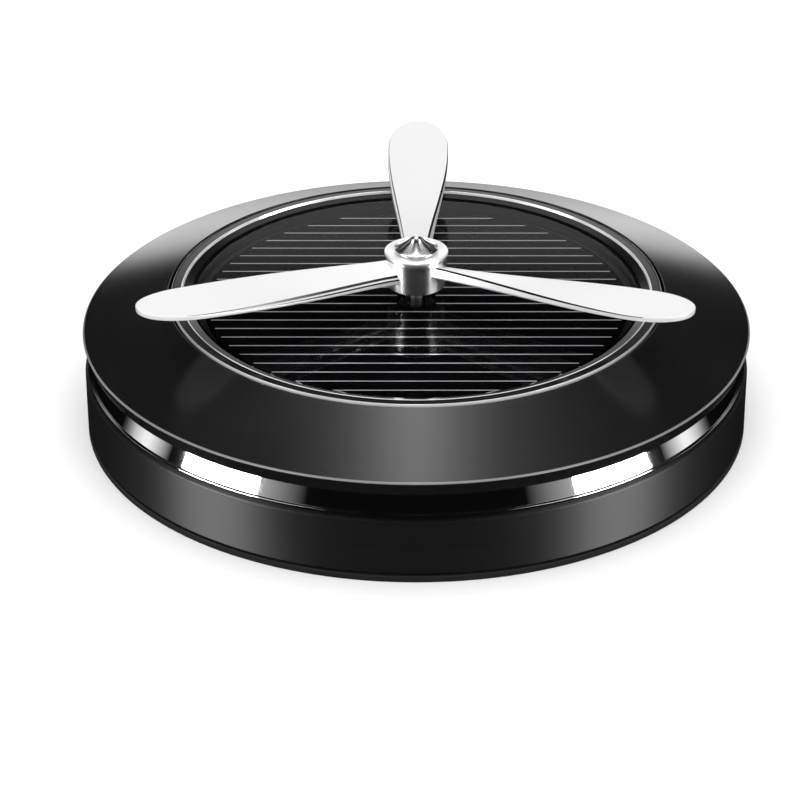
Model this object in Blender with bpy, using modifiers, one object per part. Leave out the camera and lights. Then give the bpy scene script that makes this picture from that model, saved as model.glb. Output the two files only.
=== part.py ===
"""A solar-driven spinner for a car dashboard, with a scent pad in its base.

A black turned housing carries a round solar cell under a clear cover. The cell feeds a flat motor below it,
and the motor's shaft comes up through the middle of the cell and turns a chrome hub with three blades. The
housing lifts off a tray that holds a ring of scented balm.
Metres, +Z up, origin at the middle of the underside.
"""

import math

import bmesh
import bpy
from mathutils import Matrix, Vector

MM = 0.001
GAP = 0.3                    # clearance between pieces that touch on the real object

# Heights above the surface that it stands on, in mm.
TRAY_BOTTOM = 1.1
TRAY_FLOOR = TRAY_BOTTOM + 1.65
TRAY_TOP = 7.7
TRIM_BOTTOM = TRAY_TOP + GAP
RIM_UNDERSIDE = 10.9
RIM_EDGE = 12.65
DECK_TOP = 12.6
DECK_THICK = 1.2
BOARD_BOTTOM, BOARD_TOP = DECK_TOP + GAP, 14.2
CELL_BOTTOM, CELL_TOP = BOARD_TOP + GAP, 14.8
COVER_BOTTOM, COVER_TOP = CELL_TOP + GAP, 16.05   # the clear cover over the cell
BEZEL_CREST = 16.65
HUB_BOTTOM = 17.1
HUB_TOP = 21.5
BLADE_ROOT_HEIGHT = 19.5
NUT_TOP = 23.5
SHAFT_BOTTOM, SHAFT_TOP = 3.9, 22.4

# Radii, in mm.
RIM_R = 40.0
TRAY_R = 39.9
TRAY_BORE_R = 37.6
PAD_R = 39.9
SKIRT_R = TRAY_BORE_R - 0.4
SKIRT_BORE_R = 35.4
CONE_TOP_R = 29.7
BEZEL_R = CONE_TOP_R - GAP
BEZEL_BORE_R = 27.0
CELL_R = 25.4
SHAFT_R = 0.75
SHAFT_BORE_R = 0.8
BORE_CLEAR_R = 2.2           # the shaft's way through the cell and its board
HUB_R = 3.66
MOTOR_R = 12.0
MOTOR_WALL = 0.8

# The top cover.
COVER_WALL = 1.35
CONE_SLOPE = (BEZEL_CREST - 0.1 - RIM_EDGE) / (RIM_R - CONE_TOP_R)
COVER_SCREWS = 3
COVER_SCREW_PCR = 32.3

# The flat motor, upwards from its end cap.
MOTOR_BOTTOM = 3.6
END_CAP_THICK = 1.4
MOTOR_TOP = DECK_TOP - DECK_THICK - GAP
MAGNET_BORE_R = 9.3
CORE_R = 8.9
CORE_BOTTOM = 6.9
CORE_TOP = 9.1
POLES = 3
MOTOR_SCREW_PCR = 6.5
TERMINAL_REACH = 13.6
WIRE_R = 0.45
WIRE_AWAY = 14.2             # how far from the axis the wires climb past the motor

# The propeller. Each blade drops towards its counter-clockwise edge, and its widths are seen from above.
BLADES = 3
FIRST_BLADE_DEG = 89.1
BLADE_TIP_R = 36.4
BLADE_WIDEST_R = 28.8
BLADE_ROOT_R = 2.6
BLADE_ROOT_WIDTH = 3.1
BLADE_WIDTH = 7.7
BLADE_ROOT_THICK = 1.3
BLADE_TIP_THICK = 0.55
BLADE_PITCH_DEG = 21.0
BLADE_RISE = 0.0915          # climb of the blade for each mm outwards
BLADE_SWEEP = 0.3
BLADE_STATIONS = 22

BIG_STEPS = 48               # sides of the large turned pieces
MID_STEPS = 28
SMALL_STEPS = 16

FINISHES = {                 # colour, metallic, roughness
    "anodised_black": ((0.022, 0.022, 0.024), 1.0, 0.32),
    "chrome": ((0.82, 0.82, 0.83), 1.0, 0.06),
    "silicone": ((0.012, 0.012, 0.012), 0.0, 0.75),
    "balm": ((0.80, 0.74, 0.58), 0.0, 0.55),
    "clear_cover": ((0.90, 0.92, 0.94), 0.0, 0.03),
    "silicon_cell": ((0.020, 0.024, 0.034), 0.2, 0.25),
    "board": ((0.01, 0.01, 0.012), 0.0, 0.45),
    "black_plastic": ((0.025, 0.025, 0.027), 0.0, 0.50),
    "steel": ((0.58, 0.58, 0.60), 1.0, 0.30),
    "lamination": ((0.25, 0.25, 0.27), 1.0, 0.45),
    "enamelled_copper": ((0.55, 0.20, 0.07), 1.0, 0.30),
    "brass": ((0.72, 0.55, 0.28), 1.0, 0.35),
    "bronze": ((0.50, 0.33, 0.18), 1.0, 0.50),
    "ferrite": ((0.06, 0.06, 0.065), 0.0, 0.60),
    "red_wire": ((0.60, 0.02, 0.02), 0.0, 0.45),
    "black_wire": ((0.02, 0.02, 0.02), 0.0, 0.45),
}


def clear_scene():
    for obj in list(bpy.data.objects):
        bpy.data.objects.remove(obj, do_unlink=True)


def new_collection(name):
    collection = bpy.data.collections.new(name)
    bpy.context.scene.collection.children.link(collection)
    return collection


def give_material(obj, finish):
    colour, metallic, roughness = FINISHES[finish]
    material = bpy.data.materials.new(obj.name + "_" + finish)
    material.use_nodes = True
    shader = material.node_tree.nodes["Principled BSDF"]
    shader.inputs["Base Color"].default_value = (*colour, 1.0)
    shader.inputs["Metallic"].default_value = metallic
    shader.inputs["Roughness"].default_value = roughness
    material.diffuse_color = (*colour, 1.0)
    obj.data.materials.append(material)


def add_part(name, data, finish, parent=None):
    obj = bpy.data.objects.new(name, data)
    PARTS.objects.link(obj)
    give_material(obj, finish)
    if parent:
        obj.parent = parent
    return obj


def add_cutter(name, data, parent=None):
    obj = bpy.data.objects.new(name, data)
    CUTTERS.objects.link(obj)
    obj.hide_render = True
    obj.display_type = "WIRE"
    if parent:
        obj.parent = parent
    return obj


def profile_mesh(name, points, closed):
    """A profile in the XZ plane, given in mm as (radius, height), down the outer side."""
    mesh = bpy.data.meshes.new(name)
    edges = [(i, i + 1) for i in range(len(points) - 1)]
    if closed:
        edges.append((len(points) - 1, 0))
    mesh.from_pydata([(r * MM, 0.0, z * MM) for r, z in points], edges, [])
    return mesh


def turn(obj, steps):
    screw = obj.modifiers.new("Turn", "SCREW")
    screw.axis = "Z"
    screw.angle = 2 * math.pi
    screw.screw_offset = 0.0
    screw.steps = steps
    screw.render_steps = steps
    screw.use_merge_vertices = True
    screw.merge_threshold = 0.00001
    screw.use_smooth_shade = True
    return obj


def ring(name, points, steps, finish, parent=None):
    """A turned piece with a hole in its middle."""
    return turn(add_part(name, profile_mesh(name, points, True), finish, parent), steps)


def spindle(name, points, steps, finish, parent=None):
    """A turned piece whose profile starts and ends on the axis."""
    return turn(add_part(name, profile_mesh(name, points, False), finish, parent), steps)


def box_mesh(name, low, high):
    mesh = bpy.data.meshes.new(name)
    bm = bmesh.new()
    bmesh.ops.create_cube(bm, size=1.0)
    low, high = Vector(low) * MM, Vector(high) * MM
    size = high - low
    bmesh.ops.scale(bm, vec=size, verts=bm.verts)
    bmesh.ops.translate(bm, vec=(low + high) / 2, verts=bm.verts)
    bm.to_mesh(mesh)
    bm.free()
    return mesh


def cylinder_mesh(name, radius, bottom, top, steps=SMALL_STEPS):
    mesh = bpy.data.meshes.new(name)
    bm = bmesh.new()
    bmesh.ops.create_cone(
        bm, cap_ends=True, segments=steps, radius1=radius * MM, radius2=radius * MM, depth=(top - bottom) * MM
    )
    bmesh.ops.translate(bm, vec=(0, 0, (top + bottom) / 2 * MM), verts=bm.verts)
    bm.to_mesh(mesh)
    bm.free()
    mesh.shade_smooth()
    mesh.set_sharp_from_angle(angle=math.radians(40))
    return mesh


def combine(obj, other, operation):
    boolean = obj.modifiers.new(operation.title() + "_" + other.name, "BOOLEAN")
    boolean.operation = operation
    boolean.object = other


def cut(obj, cutter):
    combine(obj, cutter, "DIFFERENCE")


def around(count, start_deg=0.0):
    return [math.radians(start_deg + 360 * i / count) for i in range(count)]


def place_at(obj, radius, angle):
    """Moves an object out from the axis and turns it to face that way."""
    obj.location = (radius * math.cos(angle) * MM, radius * math.sin(angle) * MM, obj.location.z)
    obj.rotation_euler.z = angle


def cone_height(radius):
    return BEZEL_CREST - 0.1 - (radius - CONE_TOP_R) * CONE_SLOPE


# The base: what stays on the dashboard.


def make_base():
    spindle(
        "non_slip_pad",
        [
            (0, TRAY_BOTTOM - GAP), (PAD_R - 0.15, TRAY_BOTTOM - GAP), (PAD_R, TRAY_BOTTOM - GAP - 0.15),
            (PAD_R, 0.15), (PAD_R - 0.15, 0), (0, 0),
        ],
        BIG_STEPS, "silicone",
    )
    well_in, well_out, well_top = 15.2, 16.2, 5.6
    spindle(
        "base_tray",
        [
            (0, TRAY_FLOOR), (well_in, TRAY_FLOOR), (well_in, well_top), (well_out, well_top),
            (well_out, TRAY_FLOOR), (TRAY_BORE_R, TRAY_FLOOR), (TRAY_BORE_R, TRAY_TOP),
            (TRAY_R - 0.2, TRAY_TOP), (TRAY_R, TRAY_TOP - 0.2), (TRAY_R, TRAY_BOTTOM + 0.15),
            (TRAY_R - 0.15, TRAY_BOTTOM), (0, TRAY_BOTTOM),
        ],
        BIG_STEPS, "anodised_black",
    )
    inner, outer, top = well_out + 0.5, SKIRT_BORE_R - 0.5, 6.0
    ring(
        "fragrance_ring",
        [
            (inner, TRAY_FLOOR + GAP), (inner, top - 0.4), (inner + 0.4, top), (outer - 0.4, top),
            (outer, top - 0.4), (outer, TRAY_FLOOR + GAP),
        ],
        BIG_STEPS, "balm",
    )


# The housing: what lifts off the base.


def make_top_cover():
    groove_low, groove_high, groove_floor = 5.8, 7.0, 36.3
    rim_taper, skirt_bottom = 0.54, 4.9
    cover = ring(
        "top_cover",
        [
            (CONE_TOP_R, cone_height(CONE_TOP_R)), (RIM_R - 0.25, cone_height(RIM_R - 0.25)),
            (RIM_R, RIM_EDGE - 0.05), (RIM_R - 0.02, RIM_EDGE - 0.25),
            (RIM_R - rim_taper, RIM_UNDERSIDE + 0.15), (RIM_R - rim_taper - 0.2, RIM_UNDERSIDE),
            (SKIRT_R, RIM_UNDERSIDE), (SKIRT_R, groove_high), (groove_floor, groove_high),
            (groove_floor, groove_low), (SKIRT_R, groove_low), (SKIRT_R, skirt_bottom + 0.4),
            (SKIRT_R - 0.4, skirt_bottom), (SKIRT_BORE_R, skirt_bottom),
            (SKIRT_BORE_R, cone_height(SKIRT_BORE_R) - COVER_WALL),
            (CONE_TOP_R + 1.2, cone_height(CONE_TOP_R + 1.2) - COVER_WALL),
            (CONE_TOP_R + 1.2, DECK_TOP + GAP), (CONE_TOP_R, DECK_TOP + GAP),
        ],
        BIG_STEPS, "anodised_black",
    )
    boss_top = 14.6
    for i, angle in enumerate(around(COVER_SCREWS, 30), 1):
        boss = add_cutter(f"boss_{i}", cylinder_mesh("boss", 1.9, DECK_TOP + GAP, boss_top))
        place_at(boss, COVER_SCREW_PCR, angle)
        combine(cover, boss, "UNION")
        bore = add_cutter(f"boss_bore_{i}", cylinder_mesh("boss_bore", 1.15, DECK_TOP - 1, boss_top - 0.2))
        place_at(bore, COVER_SCREW_PCR, angle)
        cut(cover, bore)
    bpy.ops.mesh.primitive_torus_add(
        major_radius=36.95 * MM, minor_radius=0.45 * MM, major_segments=BIG_STEPS, minor_segments=8,
    )
    torus = bpy.context.active_object
    grip = torus.data
    bpy.data.objects.remove(torus)
    add_part("grip_ring", grip, "silicone").location.z = (groove_low + groove_high) / 2 * MM


def make_trim_and_bezel():
    trim_top_r, lip = 38.15, 39.5
    ring(
        "trim_ring",
        [
            (SKIRT_R + GAP, RIM_UNDERSIDE - GAP), (trim_top_r, RIM_UNDERSIDE - GAP),
            (lip - 0.25, TRIM_BOTTOM + 0.45), (lip, TRIM_BOTTOM + 0.32), (lip + 0.05, TRIM_BOTTOM + 0.15),
            (lip - 0.05, TRIM_BOTTOM), (SKIRT_R + GAP, TRIM_BOTTOM),
        ],
        BIG_STEPS, "chrome",
    )
    ring(
        "bezel_ring",
        [
            (BEZEL_BORE_R, BEZEL_CREST - 0.45), (28.1, BEZEL_CREST), (28.3, BEZEL_CREST - 0.1),
            (29.1, BEZEL_CREST - 0.1), (29.25, BEZEL_CREST), (BEZEL_R, BEZEL_CREST - 0.15),
            (BEZEL_R, DECK_TOP + GAP), (BEZEL_BORE_R, DECK_TOP + GAP),
        ],
        BIG_STEPS, "anodised_black",
    )


def washer_profile(inner, outer, bottom, top):
    return [(inner, top), (outer, top), (outer, bottom), (inner, bottom)]


def make_cell():
    bore, edge = 1.6, BEZEL_BORE_R - 0.35
    ring(
        "cell_cover",
        [
            (bore, COVER_TOP), (edge - 0.25, COVER_TOP), (edge, COVER_TOP - 0.25), (edge, COVER_BOTTOM),
            (bore, COVER_BOTTOM),
        ],
        BIG_STEPS, "clear_cover",
    )
    cell = washer_profile(BORE_CLEAR_R, CELL_R, CELL_BOTTOM, CELL_TOP)
    ring("solar_cell", cell, BIG_STEPS, "silicon_cell")
    board = washer_profile(BORE_CLEAR_R, BEZEL_BORE_R - 0.4, BOARD_BOTTOM, BOARD_TOP)
    ring("cell_board", board, BIG_STEPS, "board")


def make_screw(name, location, up, head_r, head_thick, shank_r, length):
    """A pan-head screw with a cross recess, its head's underside at location and its tip down, or up."""
    profile = [
        (0, head_thick), (head_r * 0.7, head_thick), (head_r, head_thick * 0.5), (head_r, 0), (shank_r, 0),
        (shank_r, -length + 0.3), (shank_r - 0.3, -length), (0, -length),
    ]
    screw = spindle(name, profile, SMALL_STEPS, "steel")
    reach, half, floor = head_r * 0.55, 0.12, head_thick * 0.45
    for i, turned in enumerate((0.0, math.pi / 2), 1):
        recess = box_mesh("recess", (-reach, -half, floor), (reach, half, head_thick + 0.3))
        slot = add_cutter(f"{name}_recess_{i}", recess, screw)
        slot.rotation_euler.z = turned
        cut(screw, slot)
    screw.location = [c * MM for c in location]
    if up:
        screw.rotation_euler.x = math.pi
    return screw


def make_deck():
    bottom = DECK_TOP - DECK_THICK
    bore, edge = 3.6, 34.6
    collar_in, collar_out, collar_bottom = MOTOR_R + 0.35, MOTOR_R + 1.4, 9.4
    deck = ring(
        "motor_deck",
        [
            (bore, DECK_TOP), (edge, DECK_TOP), (edge, bottom), (collar_out, bottom),
            (collar_out, collar_bottom), (collar_in, collar_bottom), (collar_in, bottom), (bore, bottom),
        ],
        BIG_STEPS, "black_plastic",
    )
    for i, angle in enumerate(around(COVER_SCREWS, 30), 1):
        hole = add_cutter(f"deck_hole_{i}", cylinder_mesh("deck_hole", 1.2, bottom - 1, DECK_TOP + 1))
        place_at(hole, COVER_SCREW_PCR, angle)
        cut(deck, hole)
        x, y = COVER_SCREW_PCR * math.cos(angle), COVER_SCREW_PCR * math.sin(angle)
        make_screw(f"cover_screw_{i}", (x, y, bottom - 0.1), True, 1.9, 0.9, 0.9, 3.0)
    for i, side in enumerate((1, -1), 1):
        wire_hole = add_cutter(f"wire_hole_{i}", cylinder_mesh("wire_hole", 0.8, bottom - 1, DECK_TOP + 1))
        wire_hole.location.x = side * WIRE_AWAY * MM
        cut(deck, wire_hole)
        seat = 11.8
        for cutter_name, radius, low in (("screw_way", 1.1, bottom - 1), ("screw_seat", 1.8, seat)):
            way = add_cutter(f"{cutter_name}_{i}", cylinder_mesh(cutter_name, radius, low, DECK_TOP + 1))
            way.location.y = side * MOTOR_SCREW_PCR * MM
            cut(deck, way)
        make_screw(f"motor_screw_{i}", (0, side * MOTOR_SCREW_PCR, seat + 0.1), False, 1.5, 0.65, 0.8, 1.9)


# The motor's fixed half.


def make_motor_case():
    top_inside = MOTOR_TOP - MOTOR_WALL
    bore = MOTOR_R - MOTOR_WALL
    neck_in, neck_out, neck_top = 2.2, 3.1, 12.2
    can = ring(
        "motor_can",
        [
            (neck_in, neck_top), (neck_out, neck_top), (neck_out, MOTOR_TOP), (MOTOR_R - 0.4, MOTOR_TOP),
            (MOTOR_R, MOTOR_TOP - 0.4), (MOTOR_R, MOTOR_BOTTOM), (bore, MOTOR_BOTTOM), (bore, top_inside),
            (neck_in, top_inside),
        ],
        MID_STEPS, "steel",
    )
    cap_top = MOTOR_BOTTOM + END_CAP_THICK
    end_cap = ring(
        "motor_end_cap", washer_profile(1.9, bore - GAP, MOTOR_BOTTOM, cap_top), MID_STEPS, "black_plastic"
    )
    for i, side in enumerate((1, -1), 1):
        turned = 0.0 if side == 1 else math.pi
        notch = add_cutter(f"can_notch_{i}", box_mesh("notch", (10.2, -1.3, 3.0), (12.6, 1.3, 4.9)))
        notch.rotation_euler.z = turned
        cut(can, notch)
        hole = cylinder_mesh("can_hole", 1.1, top_inside - 1, MOTOR_TOP + 1)
        screw_way = add_cutter(f"can_hole_{i}", hole)
        screw_way.location.y = side * MOTOR_SCREW_PCR * MM
        cut(can, screw_way)
        slot = add_cutter(f"tab_slot_{i}", box_mesh("tab_slot", (8.2, -1.1, 3.0), (11.6, 1.1, 4.55)))
        slot.rotation_euler.z = turned
        cut(end_cap, slot)
        strip = box_mesh("terminal", (8.6, -0.8, 3.85), (TERMINAL_REACH + 1.2, 0.8, 4.25))
        tab = add_part(f"terminal_{i}", strip, "brass")
        tab.rotation_euler.z = turned
        make_brush(i, turned)
    ring("front_bushing", washer_profile(SHAFT_BORE_R, 1.9, 9.9, 12.1), SMALL_STEPS, "bronze")
    ring("rear_bushing", washer_profile(SHAFT_BORE_R, 1.6, MOTOR_BOTTOM, cap_top), SMALL_STEPS, "bronze")


def make_brush(number, turned):
    """A carbon block on the end of a leaf, which reaches in from the terminal to the commutator."""
    block = box_mesh("brush_block", (2.15, -0.5, 5.2), (3.2, 0.5, 5.95))
    brush = add_part(f"brush_{number}", block, "brass")
    leaf = add_cutter(f"brush_leaf_{number}", box_mesh("brush_leaf", (3.0, -0.4, 5.35), (8.8, 0.4, 5.6)))
    combine(brush, leaf, "UNION")
    brush.rotation_euler.z = turned
    leaf.rotation_euler.z = turned


def flat_outline(name, loops, bottom, top, finish, parent=None):
    """A flat plate from closed loops in the XY plane, in mm. A loop inside the first one is a hole."""
    curve = bpy.data.curves.new(name, "CURVE")
    curve.dimensions = "2D"
    curve.fill_mode = "BOTH"
    curve.extrude = (top - bottom) / 2 * MM
    for points in loops:
        spline = curve.splines.new("POLY")
        spline.points.add(len(points) - 1)
        for point, (x, y) in zip(spline.points, points):
            point.co = (x * MM, y * MM, 0, 1)
        spline.use_cyclic_u = True
    obj = add_part(name, curve, finish, parent)
    obj.location.z = (top + bottom) / 2 * MM
    return obj


def arc(radius, start_deg, end_deg, count):
    angles = [math.radians(start_deg + (end_deg - start_deg) * i / (count - 1)) for i in range(count)]
    return [(radius * math.cos(a), radius * math.sin(a)) for a in angles]


def make_magnets():
    outer = MOTOR_R - MOTOR_WALL - GAP
    half_deg, bottom, top = 68, 5.6, 9.9
    for i, middle in enumerate((90, 270), 1):
        first, last = middle - half_deg, middle + half_deg
        outline = arc(outer, first, last, 17) + arc(MAGNET_BORE_R, last, first, 17)
        flat_outline(f"magnet_{i}", [outline], bottom, top, "ferrite")


def make_wires():
    """Each lead climbs from its terminal, past the motor and through the deck, to the board's underside."""
    start, end = Vector((TERMINAL_REACH + 0.4, 0, 4.75)), Vector((WIRE_AWAY, 0, BOARD_BOTTOM - 0.1))
    bow, count = 0.25, 9
    for side, name in ((1, "wire_red"), (-1, "wire_black")):
        curve = bpy.data.curves.new(name, "CURVE")
        curve.dimensions = "3D"
        curve.bevel_depth = WIRE_R * MM
        curve.bevel_resolution = 2
        curve.use_fill_caps = True
        spline = curve.splines.new("POLY")
        spline.points.add(count - 1)
        for i, point in enumerate(spline.points):
            along = i / (count - 1)
            place = start.lerp(end, along)
            place.y += bow * math.sin(2 * math.pi * along) * (1 - along)
            place.x += bow * math.sin(math.pi * along)
            point.co = (side * place.x * MM, side * place.y * MM, place.z * MM, 1)
        add_part(name, curve, "red_wire" if side == 1 else "black_wire")


# The rotor: the shaft with what turns on it.


def make_armature(rotor):
    spindle(
        "shaft",
        [
            (0, SHAFT_TOP), (SHAFT_R - 0.15, SHAFT_TOP), (SHAFT_R, SHAFT_TOP - 0.2),
            (SHAFT_R, SHAFT_BOTTOM + 0.2), (SHAFT_R - 0.2, SHAFT_BOTTOM), (0, SHAFT_BOTTOM),
        ],
        SMALL_STEPS, "steel", rotor,
    )
    hub_r, stem_half, shoe_r, shoe_half_deg, corner = 2.6, 1.1, 7.5, 49, 0.35
    outline = []
    for angle in (0, 120, 240):
        middle = angle + 30
        turn_by = Matrix.Rotation(math.radians(middle), 2)
        root_x = math.sqrt(hub_r**2 - stem_half**2)
        neck_x = math.sqrt(shoe_r**2 - stem_half**2)
        outline += [tuple(turn_by @ Vector(p)) for p in ((root_x, -stem_half), (neck_x, -stem_half))]
        first, last = middle - shoe_half_deg, middle + shoe_half_deg
        outline += arc(CORE_R - corner, first, first + 1, 2)[:1]
        outline += arc(CORE_R, first + 2, last - 2, 13)
        outline += arc(CORE_R - corner, last - 1, last, 2)[1:]
        outline += [tuple(turn_by @ Vector(p)) for p in ((neck_x, stem_half), (root_x, stem_half))]
    bore = arc(SHAFT_R + 0.08, 0, 360 - 360 / SMALL_STEPS, SMALL_STEPS)
    flat_outline("armature_core", [outline, bore], CORE_BOTTOM, CORE_TOP, "lamination", rotor)
    for i, angle in enumerate(around(POLES, 30), 1):
        coil = box_mesh("winding", (3.3, -2.6, 6.1), (6.9, 2.6, 9.9))
        winding = add_part(f"winding_{i}", coil, "enamelled_copper", rotor)
        middle = box_mesh("winding_hole", (3.0, -1.4, 6.6), (7.2, 1.4, 9.4))
        hole = add_cutter(f"winding_hole_{i}", middle, winding)
        cut(winding, hole)
        rounding = winding.modifiers.new("Rounding", "BEVEL")
        rounding.width = 0.18 * MM
        rounding.segments = 2
        rounding.limit_method = "ANGLE"
        winding.rotation_euler.z = angle
    commutator = ring(
        "commutator", washer_profile(SHAFT_R + 0.08, 2.0, 5.15, CORE_BOTTOM - GAP), 24, "brass", rotor
    )
    for i, angle in enumerate(around(POLES, 90), 1):
        gap = box_mesh("split", (1.5, -0.12, 5.0), (2.4, 0.12, 6.3))
        split = add_cutter(f"commutator_split_{i}", gap, rotor)
        split.rotation_euler.z = angle
        cut(commutator, split)
    ring("thrust_washer", washer_profile(SHAFT_BORE_R, 1.7, 9.35, 9.65), SMALL_STEPS, "bronze", rotor)


def blade_width(radius):
    """Plan width: it swells from the root, ever more slowly, and ends in a round tip."""
    if radius <= BLADE_WIDEST_R:
        along = max(0.0, (radius - HUB_R) / (BLADE_WIDEST_R - HUB_R))
        return BLADE_ROOT_WIDTH + (BLADE_WIDTH - BLADE_ROOT_WIDTH) * math.sin(math.pi / 2 * along) ** 1.35
    along = (radius - BLADE_WIDEST_R) / (BLADE_TIP_R - BLADE_WIDEST_R)
    return BLADE_WIDTH * max(0.0, 1 - along**2.2) ** (1 / 2.2)


def blade_section(radius):
    """Points round the blade at this radius, counter-clockwise seen from its tip, with chamfered edges."""
    along = max(0.0, (radius - HUB_R) / (BLADE_TIP_R - HUB_R))
    thick = BLADE_ROOT_THICK + (BLADE_TIP_THICK - BLADE_ROOT_THICK) * min(1.0, along * 1.3)
    pitch = math.radians(BLADE_PITCH_DEG) * max(0.0, 1 - along) ** 2.2
    half = max(0.25, blade_width(radius) / math.cos(pitch) / 2)
    thick_half = min(thick / 2, half)
    edge = min(0.45 * thick_half, half * 0.6)
    middle = BLADE_SWEEP * along
    height = BLADE_ROOT_HEIGHT + BLADE_RISE * (radius - HUB_R)
    side, flat = thick_half - edge, half - edge
    corners = [
        (-half, side), (-half, -side), (-flat, -thick_half), (flat, -thick_half),
        (half, -side), (half, side), (flat, thick_half), (-flat, thick_half),
    ]
    # The first coordinate runs to the counter-clockwise edge, which is the low one.
    return [
        (
            radius,
            c * math.cos(pitch) + n * math.sin(pitch) + middle,
            height - c * math.sin(pitch) + n * math.cos(pitch),
        )
        for c, n in corners
    ]


def make_blade_mesh():
    span = BLADE_TIP_R - BLADE_ROOT_R
    # The stations close up towards the tip, where the outline turns.
    turns = [math.pi / 2 * i / BLADE_STATIONS for i in range(BLADE_STATIONS + 1)]
    radii = [BLADE_ROOT_R + span * math.sin(turn) for turn in turns]
    mesh = bpy.data.meshes.new("blade")
    bm = bmesh.new()
    loops = []
    for radius in radii:
        loops.append([bm.verts.new(Vector(p) * MM) for p in blade_section(radius)])
    for inner, outer in zip(loops, loops[1:]):
        for i in range(len(inner)):
            j = (i + 1) % len(inner)
            bm.faces.new((inner[i], inner[j], outer[j], outer[i]))
    bm.faces.new(loops[0])
    bm.faces.new(loops[-1])
    bmesh.ops.recalc_face_normals(bm, faces=bm.faces)
    bm.to_mesh(mesh)
    bm.free()
    mesh.shade_smooth()
    mesh.set_sharp_from_angle(angle=math.radians(30))
    return mesh


def nut_profile():
    """A cone with hollow sides and a round tip, bored from below for the end of the shaft."""
    nut_r, bore, tip_r, tip_drop, low = 2.64, 1.05, 0.9, 0.5, HUB_TOP + 0.22
    foot = low + 0.25
    rise = NUT_TOP - tip_drop - foot
    points = [(tip_r * out, NUT_TOP - tip_drop * drop) for out, drop in ((0, 0), (0.4, 0.12), (0.75, 0.5))]
    for i in range(7):
        along = i / 6
        points.append((tip_r + (nut_r - tip_r) * along, foot + rise * (1 - along) ** 1.25))
    points += [(nut_r, low + 0.08), (nut_r - 0.06, low), (bore, low)]
    return points + [(bore, SHAFT_TOP + 0.1), (0, SHAFT_TOP + 0.2)]


def make_propeller(rotor):
    bore, lip, foot = 1.05, HUB_R + 0.15, HUB_R - 0.24
    hub = ring(
        "hub",
        [
            (bore, HUB_TOP), (2.9, HUB_TOP), (3.5, HUB_TOP + 0.1), (lip - 0.05, HUB_TOP + 0.05),
            (lip, HUB_TOP - 0.08), (lip - 0.04, HUB_TOP - 0.2), (HUB_R, HUB_TOP - 0.26),
            (foot, HUB_BOTTOM + 0.25), (foot - 0.25, HUB_BOTTOM), (bore, HUB_BOTTOM),
        ],
        MID_STEPS, "chrome", rotor,
    )
    blade_mesh = make_blade_mesh()
    pitch = math.radians(BLADE_PITCH_DEG)
    play = 0.15
    half_width = BLADE_ROOT_WIDTH / math.cos(pitch) / 2 + play
    half_thick = BLADE_ROOT_THICK / 2 + play
    for i, angle in enumerate(around(BLADES, FIRST_BLADE_DEG), 1):
        way = box_mesh("blade_slot", (2.2, -half_width, -half_thick), (4.6, half_width, half_thick))
        slot = add_cutter(f"blade_slot_{i}", way, rotor)
        slot.location.z = BLADE_ROOT_HEIGHT * MM
        slot.rotation_euler = (-pitch, 0, angle)
        cut(hub, slot)
        blade = add_part(f"blade_{i}", blade_mesh if i == 1 else blade_mesh.copy(), "chrome", rotor)
        blade.rotation_euler.z = angle
    spindle("hub_nut", nut_profile(), MID_STEPS, "chrome", rotor)


def make_rotor():
    """Everything that turns, under an empty that stands on the shaft's axis."""
    rotor = bpy.data.objects.new("rotor_axis", None)
    rotor.empty_display_size = 0.01
    PARTS.objects.link(rotor)
    make_armature(rotor)
    make_propeller(rotor)


clear_scene()
PARTS = new_collection("solar_dashboard_diffuser")
CUTTERS = new_collection("cutters")
make_base()
make_top_cover()
make_trim_and_bezel()
make_cell()
make_deck()
make_motor_case()
make_magnets()
make_wires()
make_rotor()
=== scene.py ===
"""The looks of the solar dashboard spinner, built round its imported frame."""

import math

import bmesh
import bpy
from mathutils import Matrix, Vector


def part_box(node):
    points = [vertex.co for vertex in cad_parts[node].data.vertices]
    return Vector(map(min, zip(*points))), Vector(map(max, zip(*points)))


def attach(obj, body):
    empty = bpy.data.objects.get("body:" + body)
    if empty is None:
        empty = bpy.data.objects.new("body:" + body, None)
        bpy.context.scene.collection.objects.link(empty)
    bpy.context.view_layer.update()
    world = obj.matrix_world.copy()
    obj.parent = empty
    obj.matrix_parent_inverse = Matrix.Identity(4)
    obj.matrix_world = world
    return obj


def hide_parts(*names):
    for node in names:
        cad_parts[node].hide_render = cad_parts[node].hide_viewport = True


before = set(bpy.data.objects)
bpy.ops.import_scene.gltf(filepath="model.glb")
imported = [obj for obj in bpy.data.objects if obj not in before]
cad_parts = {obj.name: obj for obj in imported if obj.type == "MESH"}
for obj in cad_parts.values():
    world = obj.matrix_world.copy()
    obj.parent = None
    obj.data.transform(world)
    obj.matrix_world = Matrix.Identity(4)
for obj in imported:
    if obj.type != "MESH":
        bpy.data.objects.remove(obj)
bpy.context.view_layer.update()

MM = 0.001
FINE = 192                   # sides of the large turned pieces
MEDIUM = 96                  # sides of the hub and nut
GAP = 0.3                    # clearance between two pieces, in mm


def corner(node, axis, high=True):
    """One side of a CAD node's box, in mm."""
    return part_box(node)[1 if high else 0][axis] / MM


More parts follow.
